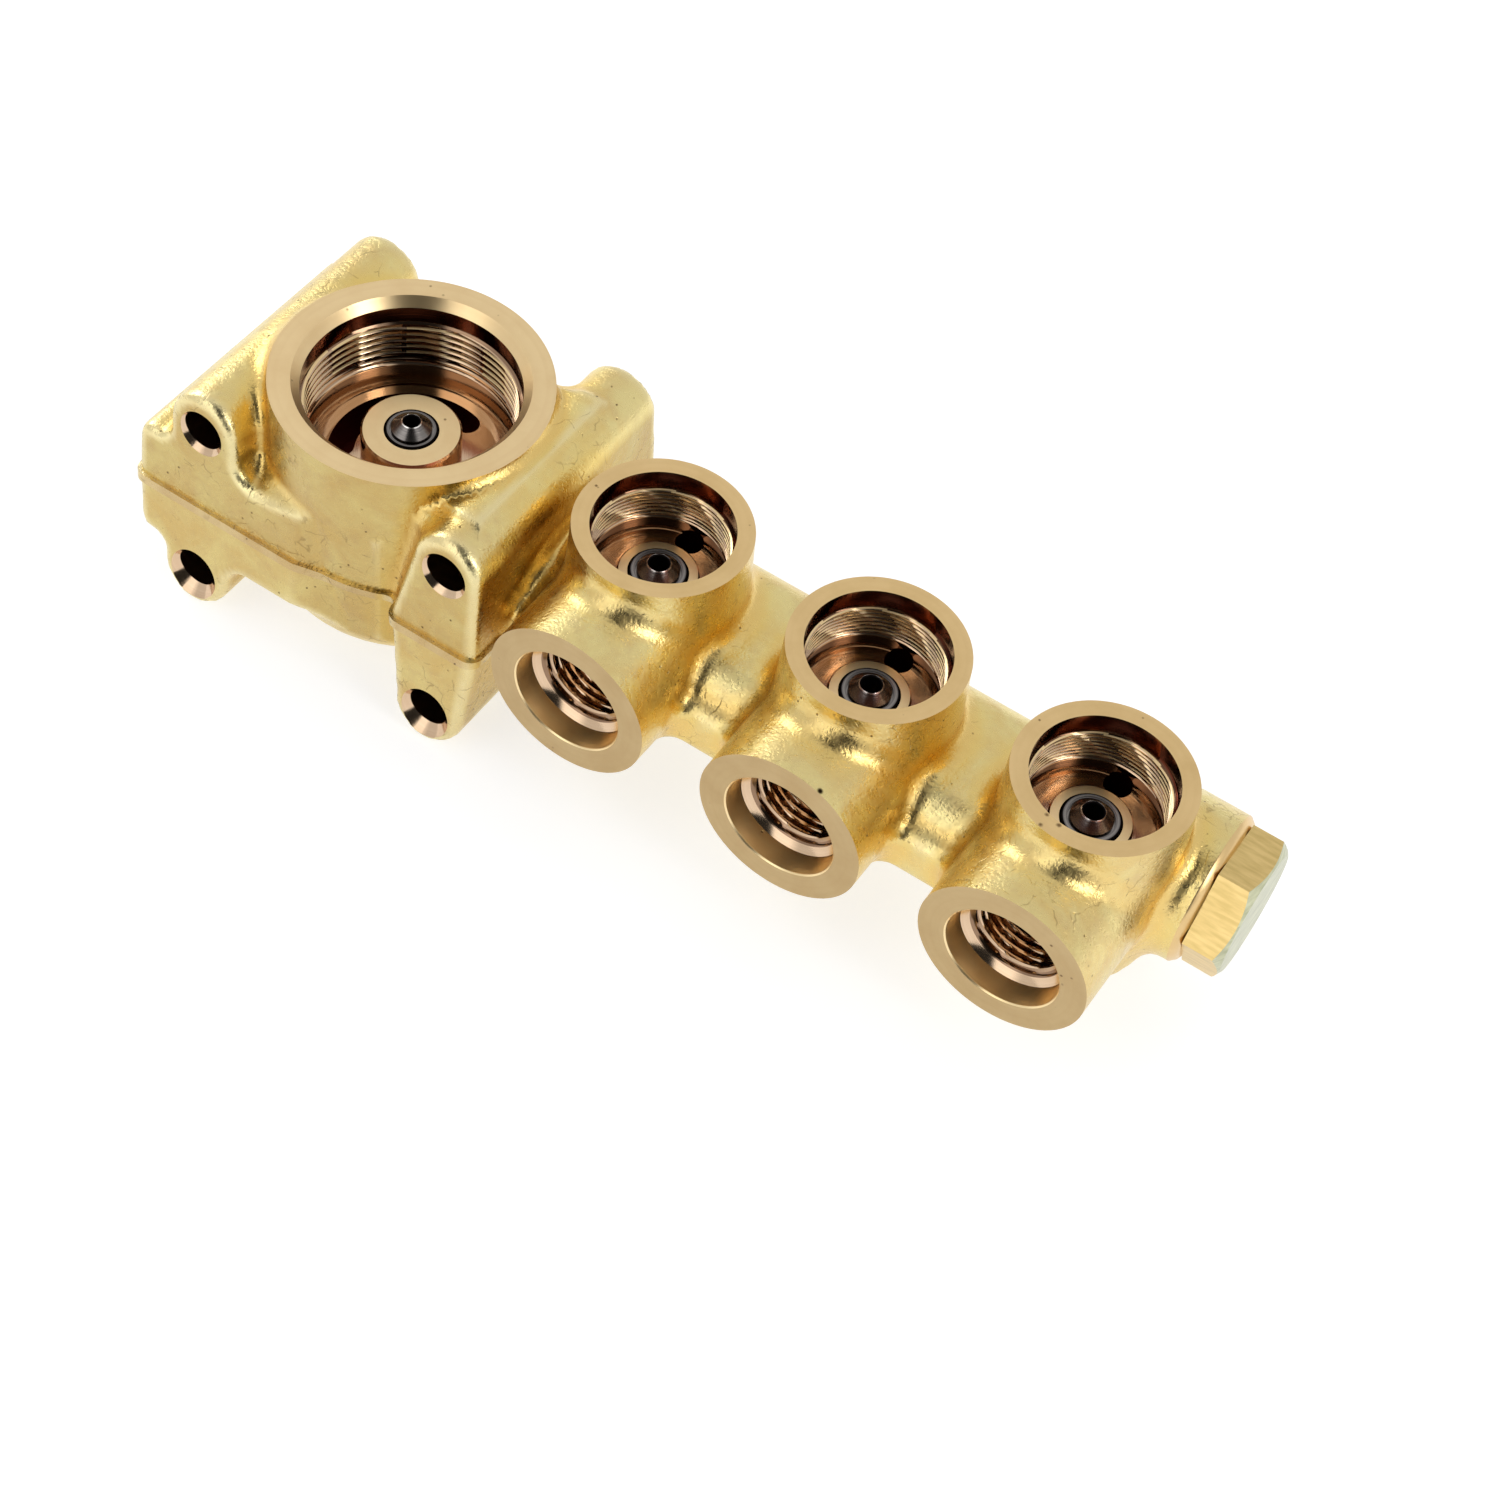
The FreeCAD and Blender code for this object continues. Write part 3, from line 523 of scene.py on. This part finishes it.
def forged_metal(name, light, dark, fold_reflection, depth):
    """Forged brass: mottled colour, orange peel, pits and fine laps; painted reflection in sheltered
    places and folds, painted highlight on crests, painted shade on the head's steep sides and in one
    nick.
    """
    material, add, surface = new_material(name)
    where = add("TexCoord", {}, "Object")
    cloud = noise(add, where, 110, 5, 0.6, 0.6)
    patch = noise(add, where, 420, 4, 0.62)
    grain = noise(add, where, 900, 4, 0.6)
    bent = add("VectorMath", {0: where, 1: add(
        "VectorMath", {0: add("TexNoise", {"Vector": where, "Scale": 160.0, "Detail": 3.0}, 1),
                       1: (0.006, 0.006, 0.006)}, operation="MULTIPLY")}, operation="ADD")
    cells = add("TexVoronoi", {"Vector": bent, "Scale": 260.0}, feature="DISTANCE_TO_EDGE")
    broken = calc(add, "MULTIPLY", span(add, noise(add, where, 70, 3), 0.5, 0.58),
                  span(add, noise(add, where, 480, 2), 0.46, 0.54))
    laps = calc(add, "MULTIPLY", span(add, cells, 0.0, 0.03, 1, 0), broken)
    spots = add("TexVoronoi", {"Vector": where, "Scale": 480.0})
    pits = calc(add, "MULTIPLY", span(add, spots, 0.05, 0.11, 1, 0),
                span(add, noise(add, where, 130, 2), 0.46, 0.54))
    fold = add("Attribute", {}, 2, attribute_name="fold")
    shelter = add("Attribute", {}, 2, attribute_name="shelter")
    colour = blend(add, span(add, cloud, 0.38, 0.62), (*light, 1), (*dark, 1))
    colour = blend(add, span(add, patch, 0.5, 0.72, 0, 0.3), colour, (0.60, 0.42, 0.22, 1))
    # painted reflection: a gold tint where other brass lies close in front, standing in for light
    # bounced between the parts
    painted_bounce_tint = calc(add, "ADD", shelter, calc(add, "MULTIPLY", calc(add, "SUBTRACT", cloud, 0.5), 0.9))
    colour = blend(add, span(add, painted_bounce_tint, 0.05, 0.6, 0, 0.85), colour, (0.87, 0.64, 0.20, 1))
    # painted reflection: folds take the fold colour given to the material, gold on the forging and pale
    # on the trimmed seam
    colour = blend(add, span(add, fold, 0.1, 1, 0, 0.8), colour, (*fold_reflection, 1))
    # painted shade: a near-black spot, 0.5 to 0.7 mm in radius, for the shade in a small nick at NICK
    nick = add("VectorMath", {0: where, 1: [c * MM for c in NICK]}, 1, operation="DISTANCE")
    colour = blend(add, span(add, nick, 0.0005, 0.0007, 1, 0), colour, (0.02, 0.012, 0.005, 1))
    # painted shade: steep sides darkened towards the head end, fully below x = -12 mm and not at all
    # beyond x = 2 mm
    upright = add("SeparateXYZ", {0: add("NewGeometry", {}, "Normal")}, 2)
    slant = add("Math", {0: upright}, operation="ABSOLUTE")
    painted_flank_shade = calc(add, "MULTIPLY", span(add, slant, 0.1, 0.4, 1, 0),
                 span(add, add("SeparateXYZ", {0: where}, 0), -0.012, 0.002, 1, 0))
    colour = blend(add, calc(add, "MULTIPLY", painted_flank_shade, 0.8), colour, (0.66, 0.60, 0.50, 1), "MULTIPLY")
    # painted highlight: convex crests lightened towards pale yellow
    crest = add("Attribute", {}, 2, attribute_name="crest")
    colour = blend(add, calc(add, "MULTIPLY", crest, 0.5), colour, (0.97, 0.86, 0.50, 1))
    marks = calc(add, "MAXIMUM", calc(add, "MULTIPLY", laps, 0.45), calc(add, "MULTIPLY", pits, 0.9))
    colour = blend(add, marks, colour, (0.16, 0.09, 0.03, 1))
    height = calc(add, "ADD", calc(add, "MULTIPLY", grain, 1.0), calc(add, "MULTIPLY", patch, 1.2))
    height = calc(add, "ADD", height, noise(add, where, 2300, 2))
    height = calc(add, "SUBTRACT", height, marks)
    bump = add("Bump", {"Height": height, "Distance": depth, "Strength": 1.0})
    surface(Base_Color=colour, Roughness=span(add, grain, 0.3, 0.7, 0.22, 0.36), Normal=bump)
    return material


# NICK and RIM_DENTS: centres of a small nick on outlet 2's face edge and of three dents on port 3's rim,
# in mm; the materials paint them as dark spots of shade, and the dents are not modelled
NICK = (39.9, -21.2, -4.9)
RIM_DENTS = ((66.8, -10.1, 0), (66.9, -12.0, 0), (68.9, -10.6, 0))


def turned_metal(name, colour, worn, rough, groove, stain, collar_shade=0.0):
    """Turned brass: rings and lines round the axis of the cut, a few stains; painted shade in thread
    roots, in a band just below the chamber rims and in three dents.
    """
    material, add, surface = new_material(name)
    where = add("TexCoord", {}, "Object")
    centre = add("Attribute", {}, 1, attribute_name="spin_centre")
    axis = add("Attribute", {}, 1, attribute_name="spin_axis")
    arm = add("VectorMath", {0: where, 1: centre}, operation="SUBTRACT")
    along = add("VectorMath", {0: arm, 1: axis}, 1, operation="DOT_PRODUCT")
    across = add("VectorMath", {0: arm, 1: axis}, operation="CROSS_PRODUCT")
    away = add("VectorMath", {0: across}, 1, operation="LENGTH")
    run = calc(add, "ADD", along, away)
    lines = add("TexNoise", {"W": run, "Scale": 5200.0, "Detail": 3.0}, noise_dimensions="1D")
    wide = add("TexNoise", {"W": run, "Scale": 900.0, "Detail": 2.0}, noise_dimensions="1D")
    spots = add("TexVoronoi", {"Vector": where, "Scale": 520.0})
    pits = calc(add, "MULTIPLY", span(add, spots, 0.07, 0.14, 1, 0),
                span(add, noise(add, where, 210, 2), 0.6, 0.66))
    shade = blend(add, span(add, noise(add, where, 160, 4, 0.6), 0.4, 0.7, 0, stain),
                  (*colour, 1), (*worn, 1))
    shade = blend(add, span(add, wide, 0.35, 0.65, 0, 0.25), shade, (*worn, 1))
    shade = blend(add, calc(add, "MULTIPLY", pits, 0.8), shade, (0.12, 0.06, 0.02, 1))
    # painted shade: dark ragged spots for the shade in small dents at RIM_DENTS
    for dent in RIM_DENTS:
        near = add("VectorMath", {0: where, 1: [c * MM for c in dent]}, 1, operation="DISTANCE")
        near = calc(add, "ADD", near, calc(add, "MULTIPLY", noise(add, where, 900, 2), 0.0006))
        shade = blend(add, span(add, near, 0.0004, 0.0007, 0.8, 0), shade, (0.10, 0.05, 0.02, 1))
    # painted shade: thread roots darkened by the root attribute
    root = add("Attribute", {}, 2, attribute_name="root")
    shade = blend(add, calc(add, "MULTIPLY", root, 0.9), shade, (0.14, 0.06, 0.03, 1))
    # painted shade: a dark red-brown band from 0.3 to 2.9 mm below the rim plane, as strong as the last
    # argument
    level = add("SeparateXYZ", {0: where}, 2)
    ring = add("Math", {0: level, 1: -0.0016, 2: 0.0013}, operation="COMPARE")
    shade = blend(add, calc(add, "MULTIPLY", ring, collar_shade), shade, (0.16, 0.025, 0.012, 1))
    height = calc(add, "SUBTRACT", lines, calc(add, "MULTIPLY", pits, 3.0))
    bump = add("Bump", {"Height": height, "Distance": groove, "Strength": 1.0})
    surface(Base_Color=shade, Roughness=rough, Normal=bump)
    return material


def seat_metal(name, centre, edge, lip):
    """Turned steel seat: painted highlight as a bright lip round its hole, painted shade as black in the
    hole and round its rim.
    """
    material, add, surface = new_material(name)
    where = add("TexCoord", {}, "Object")
    arm = add("VectorMath", {0: where, 1: centre}, operation="SUBTRACT")
    flat = add("VectorMath", {0: arm, 1: (1, 1, 0)}, operation="MULTIPLY")
    away = add("VectorMath", {0: flat}, 1, operation="LENGTH")
    lines = add("TexNoise", {"W": away, "Scale": 4000.0, "Detail": 2.0}, noise_dimensions="1D")
    # painted shade: black in a band just inside the seat's outer edge
    rim = span(add, away, edge - 0.0002, edge - 0.00012)
    shade = blend(add, span(add, lines, 0.3, 0.7), (0.27, 0.25, 0.23, 1), (0.17, 0.155, 0.15, 1))
    # painted highlight: a bright thin ring just outside the lip
    ring = add("Math", {0: away, 1: lip + 0.00006, 2: 0.00008}, operation="COMPARE")
    shade = blend(add, ring, shade, (0.85, 0.82, 0.78, 1))
    # painted shade: black inside the lip, added to the black band at the edge
    rim = calc(add, "MAXIMUM", rim, span(add, away, lip - 0.00003, lip, 1, 0))
    shade = blend(add, rim, shade, (0.012, 0.01, 0.01, 1))
    bump = add("Bump", {"Height": lines, "Distance": 0.00001, "Strength": 1.0})
    surface(Base_Color=shade, Roughness=span(add, rim, 0, 1, 0.22, 0.6), Normal=bump)
    return material


def plug_metal():
    """Milled hexagon with a sawn, tarnished end."""
    material, add, surface = new_material("plug_brass")
    where = add("TexCoord", {}, "Object")
    across = add("VectorMath", {0: where, 1: (260, 1500, 1500)}, operation="MULTIPLY")
    mill = add("TexNoise", {"Vector": across, "Scale": 1.0, "Detail": 4.0})
    cut = add("VectorMath", {0: where, 1: (400, 300, 1700)}, operation="MULTIPLY")
    saw = add("TexNoise", {"Vector": cut, "Scale": 1.0, "Detail": 5.0})
    facing = add("SeparateXYZ", {0: add("NewGeometry", {}, "Normal")}, 0)
    flat = blend(add, span(add, mill, 0.35, 0.65), (0.82, 0.60, 0.25, 1), (0.66, 0.48, 0.18, 1))
    end = blend(add, span(add, saw, 0.35, 0.65), (0.62, 0.62, 0.42, 1), (0.42, 0.43, 0.27, 1))
    shade = blend(add, span(add, facing, 0.3, 0.6), flat, end)
    height = calc(add, "ADD", mill, saw)
    bump = add("Bump", {"Height": height, "Distance": 0.00003, "Strength": 1.0})
    surface(Base_Color=shade, Roughness=0.3, Normal=bump)
    return material


# the fourth colour of each is the painted reflection in its folds
forged = forged_metal("forged_skin", (0.84, 0.70, 0.31), (0.76, 0.57, 0.24), (0.84, 0.58, 0.19), 0.00006)
seam = forged_metal("trimmed_seam", (0.84, 0.67, 0.36), (0.70, 0.52, 0.27), (0.92, 0.78, 0.46), 0.00008)
main_face = turned_metal("main_face", (0.90, 0.68, 0.37), (0.80, 0.57, 0.29), 0.3, 0.000006, 0.6)
port_face = turned_metal("port_face", (0.84, 0.60, 0.29), (0.70, 0.48, 0.21), 0.3, 0.000006, 0.6)
# painted shade: the outlet faces, which look forward, get a darker copy of the turned face brass
shaded_outlet_facing = turned_metal("outlet_face", (0.55, 0.40, 0.20), (0.46, 0.31, 0.14), 0.32, 0.000006, 0.6)
bored = turned_metal("bored_wall", (0.74, 0.54, 0.36), (0.56, 0.35, 0.20), 0.13, 0.000005, 0.15, 0.75)
# painted highlight: a much lighter brass than the bore walls, for the outlet countersinks
mouth = turned_metal("outlet_mouth", (0.98, 0.80, 0.46), (0.92, 0.66, 0.32), 0.3, 0.00001, 0.5)
# painted shade: the kidney pocket, feed holes and plug bore are nearly black red-brown
deep = turned_metal("deep_wall_shade", (0.16, 0.03, 0.02), (0.10, 0.02, 0.015), 0.35, 0.00001, 0.5)
solid.materials.clear()
for material in (forged, main_face, port_face, shaded_outlet_facing, mouth, bored, deep, seam):
    solid.materials.append(material)
solid.polygons.foreach_set("material_index", finish.astype(np.int32))

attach(body, "root")
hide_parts("manifold_body")


def dress(name, material):
    thing = bpy.data.objects[name]
    for slot in thing.material_slots:
        slot.material = material


for n, port in enumerate(PORTS):
    name = "valve_seat_%d" % (n + 1)
    dress(name, seat_metal(name + "_steel", (port * MM, 0, 0), 0.00405, 0.00164))
dress("main_seat", seat_metal("main_seat_steel", (MAIN_X * MM, 0, 0), 0.0037, 0.00135))
dress("end_plug", plug_metal())

# ---- floor, light and camera --------------------------------------------------
bpy.ops.mesh.primitive_plane_add(size=6, location=(0, 0, cad_low.z - 0.0002))
floor = bpy.context.object
floor.name = "floor"
paint = bpy.data.materials.new("floor_paint")
paint.use_nodes = True
nodes, links = paint.node_tree.nodes, paint.node_tree.links
nodes.clear()
out = nodes.new("ShaderNodeOutputMaterial")
matt = nodes.new("ShaderNodeBsdfDiffuse")
matt.inputs["Color"].default_value = (0.8, 0.8, 0.8, 1)
glow = nodes.new("ShaderNodeEmission")
glow.inputs["Strength"].default_value = 0.68
both = nodes.new("ShaderNodeAddShader")
path = nodes.new("ShaderNodeLightPath")
weak = nodes.new("ShaderNodeBsdfDiffuse")
weak.inputs["Color"].default_value = (0.49, 0.50, 0.52, 1)
mix = nodes.new("ShaderNodeMixShader")
links.new(weak.outputs[0], both.inputs[0])
links.new(glow.outputs[0], both.inputs[1])
seen = nodes.new("ShaderNodeMath")
seen.operation = "MAXIMUM"
links.new(path.outputs["Is Camera Ray"], seen.inputs[0])
links.new(path.outputs["Is Glossy Ray"], seen.inputs[1])
links.new(seen.outputs[0], mix.inputs[0])
links.new(matt.outputs[0], mix.inputs[1])
links.new(both.outputs[0], mix.inputs[2])
links.new(mix.outputs[0], out.inputs[0])
floor.data.materials.append(paint)

world = bpy.data.worlds.new("studio")
bpy.context.scene.world = world
world.use_nodes = True
nodes, links = world.node_tree.nodes, world.node_tree.links
nodes.clear()
out = nodes.new("ShaderNodeOutputWorld")
sky = nodes.new("ShaderNodeBackground")
white = nodes.new("ShaderNodeBackground")
white.inputs["Color"].default_value = (1, 1, 1, 1)
path = nodes.new("ShaderNodeLightPath")
mix = nodes.new("ShaderNodeMixShader")
links.new(path.outputs["Is Camera Ray"], mix.inputs[0])
links.new(sky.outputs[0], mix.inputs[1])
links.new(white.outputs[0], mix.inputs[2])
links.new(mix.outputs[0], out.inputs[0])
place = nodes.new("ShaderNodeTexCoord")


def toward(direction, low, high, out_low, out_high):
    """How far the sky lies toward a direction, mapped to a range."""
    dot = nodes.new("ShaderNodeVectorMath")
    dot.operation = "DOT_PRODUCT"
    dot.inputs[1].default_value = direction
    links.new(place.outputs["Generated"], dot.inputs[0])
    held = nodes.new("ShaderNodeMapRange")
    for key, value in zip((1, 2, 3, 4), (low, high, out_low, out_high)):
        held.inputs[key].default_value = value
    links.new(dot.outputs["Value"], held.inputs[0])
    return held.outputs[0]


def combine(kind, first, second):
    node = nodes.new("ShaderNodeMath")
    node.operation = kind
    for key, value in enumerate((first, second)):
        if isinstance(value, bpy.types.NodeSocket):
            links.new(value, node.inputs[key])
        else:
            node.inputs[key].default_value = value
    return node.outputs[0]


CAMERA_SIDE = (0.904, 0.428, 0)
CAMERA_LEVEL = (0.428, -0.904, 0)
# a dark gap between the lights, from the front up to the zenith, and a tall panel left of it
left_of_gap = toward(CAMERA_SIDE, -0.32, -0.24, 1, 0)
right_of_gap = toward(CAMERA_SIDE, 0.36, 0.46, 0, 1)
behind = toward(CAMERA_LEVEL, -0.08, 0.14, 1, 0)
open_sky = combine("MAXIMUM", combine("MAXIMUM", left_of_gap, right_of_gap), behind)
panel = combine("MULTIPLY", combine("MULTIPLY", left_of_gap, toward(CAMERA_SIDE, -0.8, -0.65, 0, 1)),
                toward(CAMERA_LEVEL, 0.08, 0.2, 0, 1))
level = combine("ADD", combine("MULTIPLY", panel, 0.9), 0.93)
links.new(combine("ADD", combine("MULTIPLY", level, open_sky), 0.03), sky.inputs["Strength"])


def softbox(name, place, target, size, power):
    lamp = bpy.data.lights.new(name, "AREA")
    lamp.shape = "RECTANGLE"
    lamp.size, lamp.size_y = size
    lamp.energy = power
    thing = bpy.data.objects.new(name, lamp)
    thing.location = place
    aim = Vector(target) - Vector(place)
    thing.rotation_mode = "QUATERNION"
    thing.rotation_quaternion = aim.to_track_quat("-Z", "Y")
    bpy.context.scene.collection.objects.link(thing)


middle = (0.01, 0, -0.02)
softbox("left", (-0.9, 0.25, 0.45), middle, (0.5, 0.6), 2.4)
softbox("right", (0.85, -0.1, 0.5), middle, (0.3, 0.6), 2.2)

lens = bpy.data.cameras.new("camera")
lens.lens = 68.255
lens.sensor_width = 36
lens.clip_start = 0.01
camera = bpy.data.objects.new("camera", lens)
camera.matrix_world = Matrix((
    (0.83289, -0.48766, 0.26173, 0.12684),
    (0.54357, 0.63182, -0.55258, -0.22836),
    (0.10410, 0.60250, 0.79130, 0.29135),
    (0, 0, 0, 1)))
bpy.context.scene.collection.objects.link(camera)
bpy.context.scene.camera = camera
bpy.context.scene.view_settings.view_transform = "Standard"
